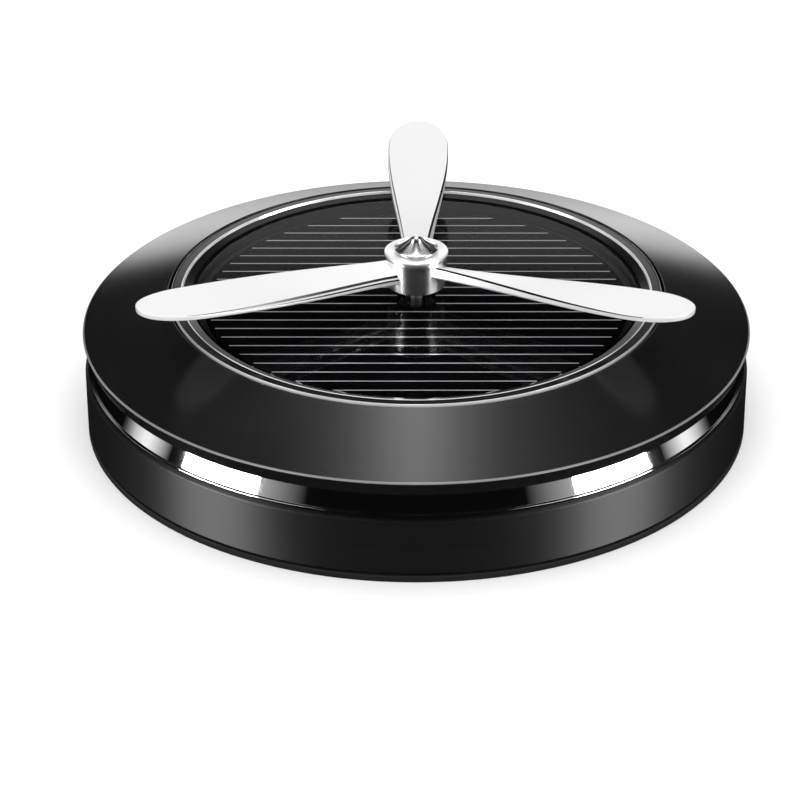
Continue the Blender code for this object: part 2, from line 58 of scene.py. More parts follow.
# Driving sizes in mm, read from the frame.
RIM_R = corner("top_cover", 0)
COVER_TOP = corner("top_cover", 2)
SKIRT_LOW = corner("top_cover", 2, False)
TRAY_R = corner("base_tray", 0)
TRAY_TOP = corner("base_tray", 2)
TRAY_LOW = corner("base_tray", 2, False)
PAD_R = corner("non_slip_pad", 0)
PAD_TOP = corner("non_slip_pad", 2)
TRIM_LOW = corner("trim_ring", 2, False)
TRIM_TOP = corner("trim_ring", 2)
LIP_R = corner("trim_ring", 0)
BEZEL_R = corner("bezel_ring", 0)
BEZEL_TOP = corner("bezel_ring", 2)
BEZEL_LOW = corner("bezel_ring", 2, False)
GLASS_R = corner("cell_cover", 0)
GLASS_TOP = corner("cell_cover", 2)
GLASS_LOW = corner("cell_cover", 2, False)
CELL_R = corner("solar_cell", 0)
CELL_TOP = corner("solar_cell", 2)
CELL_LOW = corner("solar_cell", 2, False)
HUB_LIP_R = corner("hub", 0)
HUB_TOP = corner("hub", 2)
HUB_LOW = corner("hub", 2, False)
NUT_R = corner("hub_nut", 0)
NUT_TOP = corner("hub_nut", 2)
NUT_LOW = corner("hub_nut", 2, False)

# Sizes inside the pieces, as in the CAD part.
RIM_UNDERSIDE = TRIM_TOP + GAP
RIM_EDGE = 12.65
CONE_TOP_R = BEZEL_R + GAP
COVER_WALL = 1.35
BEZEL_BORE_R = 27.0
SKIRT_R = 37.2
SKIRT_BORE_R = 35.4
GRIP_GROOVE = (36.3, 5.8, 7.0)   # the radius of the groove's floor, and its lower and upper side
TRAY_BORE_R = 37.6
TRAY_FLOOR = TRAY_LOW + 1.65
RING_WALL = (15.2, 16.2, 5.6)    # the wall inside the scent ring: its two radii and its top
GLASS_BORE_R = 1.6
CELL_BORE_R = 2.2
CELL_LINES = 22
CELL_LINE_PITCH = 2.188
SHAFT_HOLE_R = 1.05
SHAFT_HOLE_TOP = (22.6, 22.7)    # the nut's blind hole: the height of its end at the side and in the middle
BLADES = 3
FIRST_BLADE_DEG = 89.1
BLADE_TIP_R = 36.4
BLADE_WIDEST_R = 28.8
BLADE_ROOT_R = 2.6
BLADE_NECK_R = 3.66
BLADE_ROOT_HEIGHT = 19.5
BLADE_ROOT_WIDTH = 3.1
BLADE_WIDTH = 7.7
BLADE_ROOT_THICK = 1.3
BLADE_TIP_THICK = 0.55
BLADE_PITCH_DEG = 21.0
BLADE_RISE = 0.0915
BLADE_SWEEP = 0.3

# Sizes of what only the visual pieces have.
BEZEL_CUT_IN = (28.0, 28.1, 28.16)     # radii of the edge that faces in: its foot, shoulder and top
BEZEL_CUT_OUT = (29.16, 29.26, 29.3)   # of the edge that faces out: the channel's end, top and shoulder
BEZEL_CHANNEL_R = 28.3
RIB_PITCH = 4.0                        # the pad's ribs: spacing, depth, sloping side, and width of a groove
RIB_DEPTH = 0.35
RIB_SLOPE = 0.15
RIB_GROOVE = 1.5
RIBS_R = (8.0, 34.0)
LINE_MARGIN = 0.5                      # from the ends of the cell's lines to its edge
LINE_BORE_R = 2.6
STEP_ENDS_R = (31.5, 27.0)             # where the upper and the lower step in the blade's low edge end
STEP_RUN_OUT = 14.0                    # the length over which a step fades away


# Camera, floor and light.


def make_camera():
    """Looks down on the rim's middle from the front, with a long lens."""
    elevation, distance = math.radians(26.9), 0.360
    target = Vector((0, 0, RIM_EDGE * MM))
    data = bpy.data.cameras.new("camera")
    data.sensor_width = 36.0
    data.lens = 134.5
    data.shift_x = -0.0204
    data.shift_y = -0.1034
    data.clip_start, data.clip_end = 0.01, 20.0
    camera = bpy.data.objects.new("camera", data)
    back = Vector((0, -math.cos(elevation), math.sin(elevation)))
    camera.location = target + back * distance
    camera.rotation_euler = (-back).to_track_quat("-Z", "Y").to_euler()
    bpy.context.scene.collection.objects.link(camera)
    bpy.context.scene.camera = camera


def direction(azimuth, elevation):
    """A unit vector. Azimuth 0 is behind the object, +Y, and 90 is to its right."""
    a, e = math.radians(azimuth), math.radians(elevation)
    return Vector((math.sin(a) * math.cos(e), math.cos(a) * math.cos(e), math.sin(e)))


def card(name, azimuths, elevations, radiance, fade=(0, 0, 0, 0), distance=0.9, sampled=True):
    """A glowing patch of a sphere round the object, seen only in reflections and as light.

    Its sides are angles. fade gives the part of the card that it darkens over at the left, right, low and
    high side.
    """
    bm = bmesh.new()
    uv = bm.loops.layers.uv.new("UVMap")
    steps = 8
    grid = {}
    for i in range(steps + 1):
        for j in range(steps + 1):
            azimuth = azimuths[0] + (azimuths[1] - azimuths[0]) * i / steps
            elevation = elevations[0] + (elevations[1] - elevations[0]) * j / steps
            grid[i, j] = bm.verts.new(direction(azimuth, elevation) * distance)
    for i in range(steps):
        for j in range(steps):
            corners = [(i, j), (i, j + 1), (i + 1, j + 1), (i + 1, j)]
            face = bm.faces.new([grid[c] for c in corners])
            for loop, (u, v) in zip(face.loops, corners):
                loop[uv].uv = (u / steps, v / steps)
    mesh = bpy.data.meshes.new(name)
    bm.to_mesh(mesh)
    bm.free()
    material = bpy.data.materials.new(name)
    material.use_nodes = True
    tree = material.node_tree
    tree.nodes.clear()
    split = tree.nodes.new("ShaderNodeSeparateXYZ")
    tree.links.new(tree.nodes.new("ShaderNodeUVMap").outputs["UV"], split.inputs["Vector"])
    strength = radiance
    edges = ((0, 0.0, 1), (0, 1.0, -1), (1, 0.0, 1), (1, 1.0, -1))
    for (axis, start, way), part in zip(edges, fade):
        if part:
            soft = remap(tree, split.outputs[axis], start, start + way * part, 0.0, 1.0)
            strength = math_node(tree, "MULTIPLY", soft, strength)
    emission = tree.nodes.new("ShaderNodeEmission")
    if isinstance(strength, (int, float)):
        emission.inputs["Strength"].default_value = strength
    else:
        tree.links.new(strength, emission.inputs["Strength"])
    output = tree.nodes.new("ShaderNodeOutputMaterial")
    tree.links.new(emission.outputs["Emission"], output.inputs["Surface"])
    if not sampled:
        material.cycles.emission_sampling = "NONE"
    mesh.materials.append(material)
    obj = bpy.data.objects.new(name, mesh)
    obj.visible_camera = False
    obj.visible_shadow = False
    obj.visible_diffuse = False
    obj.visible_transmission = False
    bpy.context.scene.collection.objects.link(obj)


def fill(name, azimuth, elevation, wide_deg, high_deg, radiance, distance=0.9):
    """A large soft light that isn't seen in reflections."""
    width = 2 * distance * math.tan(math.radians(wide_deg / 2))
    height = 2 * distance * math.tan(math.radians(high_deg / 2))
    data = bpy.data.lights.new(name, "AREA")
    data.shape = "RECTANGLE"
    data.size, data.size_y = width, height
    data.energy = radiance * math.pi * width * height
    light = bpy.data.objects.new(name, data)
    outward = direction(azimuth, elevation)
    light.location = outward * distance
    light.rotation_euler = outward.to_track_quat("Z", "Y").to_euler()
    light.visible_glossy = False
    light.visible_transmission = False
    light.visible_camera = False
    bpy.context.scene.collection.objects.link(light)


def make_stage():
    """The floor, the cards round the object and two fills."""
    scene = bpy.context.scene
    scene.view_settings.view_transform = "Standard"
    world = bpy.data.worlds.new("studio")
    scene.world = world
    world.use_nodes = True
    world.node_tree.nodes["Background"].inputs["Color"].default_value = (0.9, 0.9, 0.92, 1)
    world.node_tree.nodes["Background"].inputs["Strength"].default_value = 0.003

    mesh = bpy.data.meshes.new("floor")
    bm = bmesh.new()
    bmesh.ops.create_grid(bm, x_segments=1, y_segments=1, size=4.0)
    bm.to_mesh(mesh)
    bm.free()
    floor = bpy.data.objects.new("floor", mesh)
    floor.visible_glossy = False
    scene.collection.objects.link(floor)
    material, tree, shader = new_material("pale_floor")
    shader.inputs["Roughness"].default_value = 0.9
    shader.inputs["Specular IOR Level"].default_value = 0.1
    grain = noise(tree, 9.0, 3.0)
    colour = ramp(tree, grain, ((0.3, (0.91, 0.91, 0.91)), (0.7, (0.93, 0.93, 0.93))))
    tree.links.new(colour, shader.inputs["Base Color"])
    mesh.materials.append(material)

    card("overhead", (-32, 32), (48, 88), 4.8, (0.45, 0.45, 0.1, 0))
    card("side_left", (-127, -99), (6, 27), 34.0)
    card("side_right", (99, 127), (6, 27), 34.0)
    card("wing_left", (-144, -127), (6, 30), 0.4, (1.0, 0, 0, 0))
    card("wing_right", (127, 144), (6, 30), 0.4, (0, 1.0, 0, 0))
    card("rim_left", (-93, -68), (0, 16), 1.0, (0.4, 0.5, 0.2, 0.2))
    card("rim_right", (68, 93), (0, 16), 1.0, (0.5, 0.4, 0.2, 0.2))
    card("nut_left", (-122, -92), (30, 70), 1.6)
    card("nut_right", (92, 122), (30, 70), 1.6)
    card("far_left", (-62, -36), (12, 36), 0.6, (0.3, 0.6, 0.2, 0.2))
    card("far_right", (36, 62), (12, 36), 0.6, (0.6, 0.3, 0.2, 0.2))
    card("horizon", (-20, 20), (-16, 9), 2.1, (0.1, 0.1, 0.44, 0.32), sampled=False)
    card("behind_low", (-9, 9), (10, 22), 0.8)
    card("behind_cell", (-24, 24), (22, 27.4), 2.4, (0.15, 0.15, 0, 0.3))
    card("behind_high", (-10, 10), (36, 48), 1.1)
    fill("fill_above", 0, 89, 110, 110, 1.75)
    fill("fill_front", 180, 22, 80, 40, 1.9)


# Material helpers.


def new_material(name):
    material = bpy.data.materials.new(name)
    material.use_nodes = True
    tree = material.node_tree
    return material, tree, tree.nodes["Principled BSDF"]


def set_sockets(shader, **values):
    names = {
        "metallic": "Metallic", "ior": "IOR", "specular": "Specular IOR Level", "anisotropic": "Anisotropic",
        "rotation": "Anisotropic Rotation", "transmission": "Transmission Weight",
    }
    for key, value in values.items():
        shader.inputs[names[key]].default_value = value


def math_node(tree, operation, *inputs):
    node = tree.nodes.new("ShaderNodeMath")
    node.operation = operation
    for socket, value in zip(node.inputs, inputs):
        if isinstance(value, (int, float)):
            socket.default_value = value
        else:
            tree.links.new(value, socket)
    return node.outputs[0]


def object_coords(tree):
    found = tree.nodes.get("Object coordinates")
    if not found:
        found = tree.nodes.new("ShaderNodeTexCoord")
        found.name = "Object coordinates"
    return found.outputs["Object"]


def noise(tree, scale, detail=4.0, vector=None, roughness=0.5):
    node = tree.nodes.new("ShaderNodeTexNoise")
    node.inputs["Scale"].default_value = scale
    node.inputs["Detail"].default_value = detail
    node.inputs["Roughness"].default_value = roughness
    tree.links.new(vector or object_coords(tree), node.inputs["Vector"])
    return node.outputs["Fac"]


def ramp(tree, factor, stops):
    node = tree.nodes.new("ShaderNodeValToRGB")
    elements = node.color_ramp.elements
    while len(elements) < len(stops):
        elements.new(0.5)
    for element, (position, colour) in zip(elements, stops):
        element.position = position
        element.color = (*colour, 1.0)
    tree.links.new(factor, node.inputs["Fac"])
    return node.outputs["Color"]


def remap(tree, value, low, high, to_low, to_high):
    node = tree.nodes.new("ShaderNodeMapRange")
    for name, number in (("From Min", low), ("From Max", high), ("To Min", to_low), ("To Max", to_high)):
        node.inputs[name].default_value = number
    tree.links.new(value, node.inputs["Value"])
    return node.outputs["Result"]


def mix_colour(tree, factor, first, second):
    node = tree.nodes.new("ShaderNodeMix")
    node.data_type = "RGBA"
    tree.links.new(factor, node.inputs["Factor"])
    for name, value in (("A", first), ("B", second)):
        socket = next(s for s in node.inputs if s.name == name and s.type == "RGBA")
        if isinstance(value, tuple):
            socket.default_value = (*value, 1.0)
        else:
            tree.links.new(value, socket)
    return next(s for s in node.outputs if s.type == "RGBA")


def bump(tree, shader, height, strength, distance):
    node = tree.nodes.new("ShaderNodeBump")
    node.inputs["Strength"].default_value = strength
    node.inputs["Distance"].default_value = distance
    tree.links.new(height, node.inputs["Height"])
    tree.links.new(node.outputs["Normal"], shader.inputs["Normal"])


def radius_and_height(tree):
    """The distance from the shaft's axis and the height, both in metres."""
    split = tree.nodes.new("ShaderNodeSeparateXYZ")
    tree.links.new(object_coords(tree), split.inputs["Vector"])
    x, y, z = split.outputs
    squares = math_node(tree, "ADD", math_node(tree, "MULTIPLY", x, x), math_node(tree, "MULTIPLY", y, y))
    return math_node(tree, "SQRT", squares), z


def turning_marks(tree, pitch_mm):
    """Noise that changes only along the profile of a turned piece, as the marks of a lathe do."""
    radius, height = radius_and_height(tree)
    join = tree.nodes.new("ShaderNodeCombineXYZ")
    tree.links.new(radius, join.inputs["X"])
    tree.links.new(height, join.inputs["Y"])
    return noise(tree, 1.0 / (pitch_mm * MM), 2.0, join.outputs["Vector"], 0.6)


def turned(tree, shader, strength=0.15, pitch_mm=0.25):
    """Brushes the piece round its axis: a radial tangent for the stretched gloss, and fine lathe marks."""
    tangent = tree.nodes.new("ShaderNodeTangent")
    tangent.direction_type = "RADIAL"
    tangent.axis = "Z"
    tree.links.new(tangent.outputs["Tangent"], shader.inputs["Tangent"])
    set_sockets(shader, rotation=0.25)
    bump(tree, shader, turning_marks(tree, pitch_mm), strength, 0.00002)


def vary_roughness(tree, shader, low, high, scale):
    tree.links.new(remap(tree, noise(tree, scale, 5.0), 0.3, 0.7, low, high), shader.inputs["Roughness"])


def band(tree, value, low, high):
    """1 where value lies between low and high."""
    over = math_node(tree, "GREATER_THAN", value, low)
    under = math_node(tree, "LESS_THAN", value, high)
    return math_node(tree, "MULTIPLY", over, under)


# The materials. Each is made once and shared by the pieces of that finish.


def black_anodised(name, colour, rough, aniso, uncoated_edge_highlights=(), grey=0.5, specular=0.5):
    """Brushed black. Each cut edge, a ring between two radii and over a height in mm, is uncoated metal
    painted a light grey: a painted highlight line.
    """
    material, tree, shader = new_material(name)
    set_sockets(shader, anisotropic=aniso, specular=specular)
    turned(tree, shader)
    marks = turning_marks(tree, 0.9)
    dark = tuple(c * 0.8 for c in colour)
    light = tuple(c * 1.3 for c in colour)
    black = ramp(tree, marks, ((0.3, dark), (0.7, light)))
    vary_roughness(tree, shader, rough * 0.92, rough * 1.08, 55.0)
    if not uncoated_edge_highlights:
        tree.links.new(black, shader.inputs["Base Color"])
        return material
    radius, height = radius_and_height(tree)
    uncoated_and_highlight = None
    for inner, outer, over in uncoated_edge_highlights:
        ring = band(tree, radius, inner * MM, outer * MM)
        ring = math_node(tree, "MULTIPLY", ring, math_node(tree, "GREATER_THAN", height, over * MM))
        uncoated_and_highlight = ring if uncoated_and_highlight is None else math_node(tree, "MAXIMUM", uncoated_and_highlight, ring)
    # Painted highlight: the uncoated cut edges take a light, mostly diffuse grey, so they show as bright
    # lines whatever the light.
    silver = ramp(tree, marks, ((0.3, (grey * 0.88,) * 3), (0.7, (grey * 1.1,) * 3)))
    tree.links.new(mix_colour(tree, uncoated_and_highlight, black, silver), shader.inputs["Base Color"])
    tree.links.new(math_node(tree, "MULTIPLY", uncoated_and_highlight, 0.3), shader.inputs["Metallic"])
    return material


def chrome(name, colour, rough):
    material, tree, shader = new_material(name)
    set_sockets(shader, metallic=1.0)
    tint = tuple(c * 0.97 for c in colour)
    grain = ramp(tree, noise(tree, 160.0), ((0.35, tint), (0.65, colour)))
    tree.links.new(grain, shader.inputs["Base Color"])
    vary_roughness(tree, shader, rough * 0.7, rough * 1.3, 240.0)
    bump(tree, shader, noise(tree, 420.0, 2.0), 0.02, 0.00002)
    return material


def plain_detail(name, colour, rough, metallic=0.0, scale=900.0, strength=0.2, spread=0.12, specular=0.5):
    """A moulded, ground or sintered surface: its colour, roughness and grain all vary a little."""
    material, tree, shader = new_material(name)
    set_sockets(shader, metallic=metallic, specular=specular)
    dark = tuple(c * (1 - spread) for c in colour)
    light = tuple(min(1.0, c * (1 + spread)) for c in colour)
    mottle = ramp(tree, noise(tree, scale / 8), ((0.3, dark), (0.7, light)))
    tree.links.new(mottle, shader.inputs["Base Color"])
    vary_roughness(tree, shader, rough * 0.88, min(1.0, rough * 1.12), scale / 4)
    bump(tree, shader, noise(tree, scale, 3.0), strength, 0.00004)
    return material


def clear_cover():
    """Polished clear plastic that lets light straight through to the cell."""
    material, tree, shader = new_material("clear_cover")
    set_sockets(shader, transmission=1.0, ior=1.08)
    tree.links.new(
        ramp(tree, noise(tree, 60.0), ((0.3, (0.97, 0.98, 0.99)), (0.7, (0.98, 0.99, 1.0)))),
        shader.inputs["Base Color"],
    )
    vary_roughness(tree, shader, 0.0, 0.012, 120.0)
    path = tree.nodes.new("ShaderNodeLightPath")
    clear = tree.nodes.new("ShaderNodeBsdfTransparent")
    clear.inputs["Color"].default_value = (0.9, 0.9, 0.9, 1)
    mix = tree.nodes.new("ShaderNodeMixShader")
    output = tree.nodes["Material Output"]
    tree.links.new(path.outputs["Is Shadow Ray"], mix.inputs["Fac"])
    tree.links.new(shader.outputs["BSDF"], mix.inputs[1])
    tree.links.new(clear.outputs["BSDF"], mix.inputs[2])
    tree.links.new(mix.outputs["Shader"], output.inputs["Surface"])
    return material


def white_metal(name, colour, metallic, rough):
    """Bright plated metal with a soft white sheen, finely polished."""
    material, tree, shader = new_material(name)
    set_sockets(shader, metallic=metallic)
    tint = tuple(c * 0.985 for c in colour)
    sheen = ramp(tree, noise(tree, 60.0, 0.0), ((0.2, tint), (0.8, colour)))
    tree.links.new(sheen, shader.inputs["Base Color"])
    soft = remap(tree, noise(tree, 45.0, 0.0), 0.0, 1.0, rough * 0.85, rough * 1.15)
    tree.links.new(soft, shader.inputs["Roughness"])
    bump(tree, shader, noise(tree, 120.0, 0.0), 0.01, 0.00001)
    return material


def turned_chrome(name, colour, rough, aniso, satin_over):
    """Chrome over lathe marks, which draw its reflections out along the axis.

    Over a height in mm it is satin.
    """
    material, tree, shader = new_material(name)
    set_sockets(shader, metallic=1.0, anisotropic=aniso)
    turned(tree, shader, 0.05, 0.12)
    tint = tuple(c * 0.95 for c in colour)
    marks = turning_marks(tree, 0.3)
    tree.links.new(ramp(tree, marks, ((0.35, tint), (0.65, colour))), shader.inputs["Base Color"])
    vary_roughness(tree, shader, rough * 0.92, rough * 1.08, 300.0)
    satin = math_node(tree, "GREATER_THAN", radius_and_height(tree)[1], satin_over * MM)
    tree.links.new(remap(tree, satin, 0.0, 1.0, 1.0, 0.5), shader.inputs["Metallic"])
    return material


# Mesh helpers.


def rounded(points, arc_steps=4):
    """A profile in mm. A point with a third number is rounded to that radius."""
    out = []
    count = len(points)
    for i, point in enumerate(points):
        if len(point) == 2:
            out.append(point)
            continue
        here = Vector(point[:2])
        before = (Vector(points[i - 1][:2]) - here).normalized()
        after = (Vector(points[(i + 1) % count][:2]) - here).normalized()
        half = before.angle(after) / 2
        reach = point[2] / math.tan(half)
        centre = here + (before + after).normalized() * (point[2] / math.sin(half))
        start, end = here + before * reach - centre, here + after * reach - centre
        sweep = start.angle_signed(end)
        for step in range(arc_steps + 1):
            spin = -sweep * step / arc_steps
            turned_arm = Vector((
                start.x * math.cos(spin) - start.y * math.sin(spin),
                start.x * math.sin(spin) + start.y * math.cos(spin),
            ))
            out.append(tuple(centre + turned_arm))
    return out


def finish_mesh(name, bm, material, sharp_deg=35):
    """Makes an object of the mesh, smooth but for edges sharper than sharp_deg."""
    mesh = bpy.data.meshes.new(name)
    bmesh.ops.recalc_face_normals(bm, faces=bm.faces)
    bm.to_mesh(mesh)
    bm.free()
    mesh.shade_smooth()
    mesh.set_sharp_from_angle(angle=math.radians(sharp_deg))
    mesh.materials.append(material)
    obj = bpy.data.objects.new(name, mesh)
    bpy.context.scene.collection.objects.link(obj)
    # Flat faces keep their own direction beside a rounded edge.
    flats = obj.modifiers.new("Flat faces", "WEIGHTED_NORMAL")
    flats.mode = "FACE_AREA"
    flats.weight = 90
    flats.keep_sharp = True
    return obj


def lathe(name, points, steps, material, closed=True, sharp_deg=35):
    """Turns a profile of (radius, height) in mm about the shaft's axis."""
    bm = bmesh.new()
    columns = []
    for step in range(steps):
        angle = 2 * math.pi * step / steps
        column = []
        for i, (r, z) in enumerate(points):
            if r == 0 and step:
                column.append(columns[0][i])
            else:
                column.append(bm.verts.new((r * math.cos(angle) * MM, r * math.sin(angle) * MM, z * MM)))
        columns.append(column)
    pairs = list(zip(range(len(points)), range(1, len(points))))
    if closed:
        pairs.append((len(points) - 1, 0))
    for step in range(steps):
        here, there = columns[step], columns[(step + 1) % steps]
        for i, j in pairs:
            corners = [here[i], here[j], there[j], there[i]]
            unique = [v for k, v in enumerate(corners) if v not in corners[:k]]
            if len(unique) > 2:
                bm.faces.new(unique)
    return finish_mesh(name, bm, material, sharp_deg)


def place(obj, body, slot, *nodes):
    """Puts a piece on its body, in place of the CAD nodes named. Its slot is not used."""
    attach(obj, body)
    if nodes:
        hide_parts(*nodes)
    return obj


# The pieces.


def cone_height(radius):
    """The height of the cover's sloping face."""
    return COVER_TOP - (radius - CONE_TOP_R) * (COVER_TOP - RIM_EDGE) / (RIM_R - CONE_TOP_R)


def make_cover(material):
    """The sloping ring, its sharp rim, and the skirt with a groove for the grip ring."""
    groove_r, groove_low, groove_high = GRIP_GROOVE
    seat_r = CONE_TOP_R + 1.2
    profile = rounded([
        (CONE_TOP_R, COVER_TOP, 0.1), (RIM_R - 0.2, RIM_EDGE + 0.08), (RIM_R, RIM_EDGE - 0.1),
        (RIM_R - 0.54, RIM_UNDERSIDE, 0.15), (SKIRT_R, RIM_UNDERSIDE),
        (SKIRT_R, groove_high), (groove_r, groove_high), (groove_r, groove_low), (SKIRT_R, groove_low),
        (SKIRT_R, SKIRT_LOW, 0.3), (SKIRT_BORE_R, SKIRT_LOW, 0.2),
        (SKIRT_BORE_R, cone_height(SKIRT_BORE_R) - COVER_WALL), (seat_r, cone_height(seat_r) - COVER_WALL),
        (seat_r, BEZEL_LOW), (CONE_TOP_R, BEZEL_LOW),
    ])
    place(lathe("top_cover_turned", profile, FINE, material), "housing", "anodised_black", "top_cover")


def make_bezel(material):
    """Two cut edges with a shallow black channel between them."""
    foot_r, shoulder_r, top_r = BEZEL_CUT_IN
    channel_end_r, outer_top_r, outer_shoulder_r = BEZEL_CUT_OUT
    channel = BEZEL_TOP - 0.08
    profile = [
        (BEZEL_BORE_R, BEZEL_TOP - 0.45), (foot_r, BEZEL_TOP - 0.28), (shoulder_r, BEZEL_TOP - 0.02),
        (top_r, BEZEL_TOP), (BEZEL_CHANNEL_R, channel), (channel_end_r, channel), (outer_top_r, BEZEL_TOP),
        (outer_shoulder_r, BEZEL_TOP - 0.02), (BEZEL_R, BEZEL_TOP - 0.32),
        (BEZEL_R, BEZEL_LOW), (BEZEL_BORE_R, BEZEL_LOW),
    ]
    ring = lathe("bezel_turned", profile, FINE, material, sharp_deg=20)
    place(ring, "housing", "anodised_black", "bezel_ring")


def make_trim(material):
    """Its side flares outwards down to a lip."""
    profile = rounded([
        (SKIRT_R + GAP, TRIM_TOP), (38.15, TRIM_TOP, 0.1), (LIP_R - 0.3, TRIM_LOW + 0.42, 0.05),
        (LIP_R, TRIM_LOW + 0.3, 0.1), (LIP_R - 0.02, TRIM_LOW, 0.1), (SKIRT_R + GAP, TRIM_LOW),
    ])
    place(lathe("trim_ring_polished", profile, FINE, material), "housing", "chrome", "trim_ring")


def make_tray(material):
    wall_in, wall_out, wall_top = RING_WALL
    profile = [(0, TRAY_FLOOR)] + rounded([
        (wall_in, TRAY_FLOOR), (wall_in, wall_top, 0.15), (wall_out, wall_top, 0.15), (wall_out, TRAY_FLOOR),
        (TRAY_BORE_R, TRAY_FLOOR, 0.3), (TRAY_BORE_R, TRAY_TOP, 0.1),
        (TRAY_R, TRAY_TOP, 0.2), (TRAY_R, TRAY_LOW, 0.15), (0, TRAY_LOW),
    ])
    place(lathe("base_tray_turned", profile, FINE, material, False), "base", "anodised_black", "base_tray")


def make_pad(material):
    """The foot has rings of fine ribs underneath, which give it grip."""
    innermost, radius = RIBS_R
    profile = [(0, PAD_TOP)] + rounded([(PAD_R, PAD_TOP, 0.15), (PAD_R, 0, 0.15), (radius, 0)])[:-1]
    while radius > innermost:
        outer, inner = radius - RIB_SLOPE, radius - RIB_GROOVE + RIB_SLOPE
        profile += [(radius, 0), (outer, RIB_DEPTH), (inner, RIB_DEPTH), (radius - RIB_GROOVE, 0)]
        radius -= RIB_PITCH
    profile.append((0, 0))
    place(lathe("non_slip_foot", profile, FINE, material, False), "base", "silicone", "non_slip_pad")


def make_cell(glass, wafer, metal):
    """The clear cover, the wafer under it and its printed lines, which leave the shaft's hole free."""
    profile = rounded([
        (GLASS_BORE_R, GLASS_TOP, 0.08), (GLASS_R, GLASS_TOP, 0.15),
        (GLASS_R, GLASS_LOW, 0.05), (GLASS_BORE_R, GLASS_LOW, 0.05),
    ], 3)
    place(lathe("clear_cover_disc", profile, FINE, glass), "housing", "clear_cover", "cell_cover")
    profile = [(CELL_BORE_R, CELL_TOP), (CELL_R, CELL_TOP), (CELL_R, CELL_LOW), (CELL_BORE_R, CELL_LOW)]
    place(lathe("solar_wafer", profile, FINE, wafer), "housing", "silicon_cell", "solar_cell")
    bm = bmesh.new()
    line_r, half_width = CELL_R - LINE_MARGIN, 0.085
    low, high = CELL_TOP + 0.005, CELL_TOP + 0.03
    for i in range(CELL_LINES):
        y = (i - (CELL_LINES - 1) / 2) * CELL_LINE_PITCH
        reach = math.sqrt(line_r**2 - y**2)
        hole = math.sqrt(max(0.0, LINE_BORE_R**2 - y**2))
        spans = [(-reach, reach)] if hole == 0 else [(-reach, -hole), (hole, reach)]
        for x0, x1 in spans:
            bar = bmesh.ops.create_cube(bm, size=1.0)["verts"]
            bmesh.ops.scale(bm, vec=((x1 - x0) * MM, 2 * half_width * MM, (high - low) * MM), verts=bar)
            bmesh.ops.translate(bm, vec=((x0 + x1) / 2 * MM, y * MM, (low + high) / 2 * MM), verts=bar)
    place(finish_mesh("cell_lines", bm, metal), "housing", "silicon_cell")


def make_hub(material):
    """A barrel with a lip round its top, raised a little at its edge, and a narrow groove under the lip."""
    lip, neck = HUB_LIP_R, HUB_LIP_R - 0.15
    top, groove_r = HUB_TOP - 0.1, neck - 0.15
    profile = rounded([
        (SHAFT_HOLE_R, top), (2.9, top), (3.5, HUB_TOP, 0.1),
        (lip, HUB_TOP - 0.02, 0.1), (lip - 0.02, HUB_TOP - 0.33, 0.08),
        (groove_r, HUB_TOP - 0.38), (groove_r, HUB_TOP - 0.6), (neck, HUB_TOP - 0.64, 0.03),
        (neck - 0.24, HUB_LOW + 0.12, 0.2), (neck - 0.5, HUB_LOW, 0.1), (SHAFT_HOLE_R, HUB_LOW),
    ])
    place(lathe("hub_barrel", profile, MEDIUM, material), "rotor", "chrome", "hub")


def make_nut(material):
    """A cone with hollow sides, a round tip and a blind hole for the shaft's end."""
    tip, tip_drop, foot, steps = 0.9, 0.5, NUT_LOW + 0.25, 12
    base, hole_side, hole_middle = NUT_R, *SHAFT_HOLE_TOP
    profile = [(0, NUT_TOP)]
    for out, drop in ((0.2, 0.03), (0.4, 0.12), (0.6, 0.28), (0.75, 0.47), (0.88, 0.72)):
        profile.append((tip * out, NUT_TOP - tip_drop * drop))
    rise = NUT_TOP - tip_drop - foot
    for i in range(steps + 1):
        along = i / steps
        profile.append((tip + (base - 0.02 - tip) * along, foot + rise * (1 - along) ** 1.25))
    profile += [
        (base, NUT_LOW + 0.12), (base - 0.06, NUT_LOW),
        (SHAFT_HOLE_R, NUT_LOW), (SHAFT_HOLE_R, hole_side), (0, hole_middle),
    ]
    place(lathe("hub_nut_cone", profile, MEDIUM, material, False), "rotor", "chrome", "hub_nut")


def blade_width(radius):
    """As seen from above: widening in a curve from the neck, then rounded off to the tip."""
    if radius <= BLADE_WIDEST_R:
        along = max(0.0, (radius - BLADE_NECK_R) / (BLADE_WIDEST_R - BLADE_NECK_R))
        return BLADE_ROOT_WIDTH + (BLADE_WIDTH - BLADE_ROOT_WIDTH) * math.sin(math.pi / 2 * along) ** 1.35
    along = (radius - BLADE_WIDEST_R) / (BLADE_TIP_R - BLADE_WIDEST_R)
    return BLADE_WIDTH * max(0.0, 1 - along**2.2) ** (1 / 2.2)


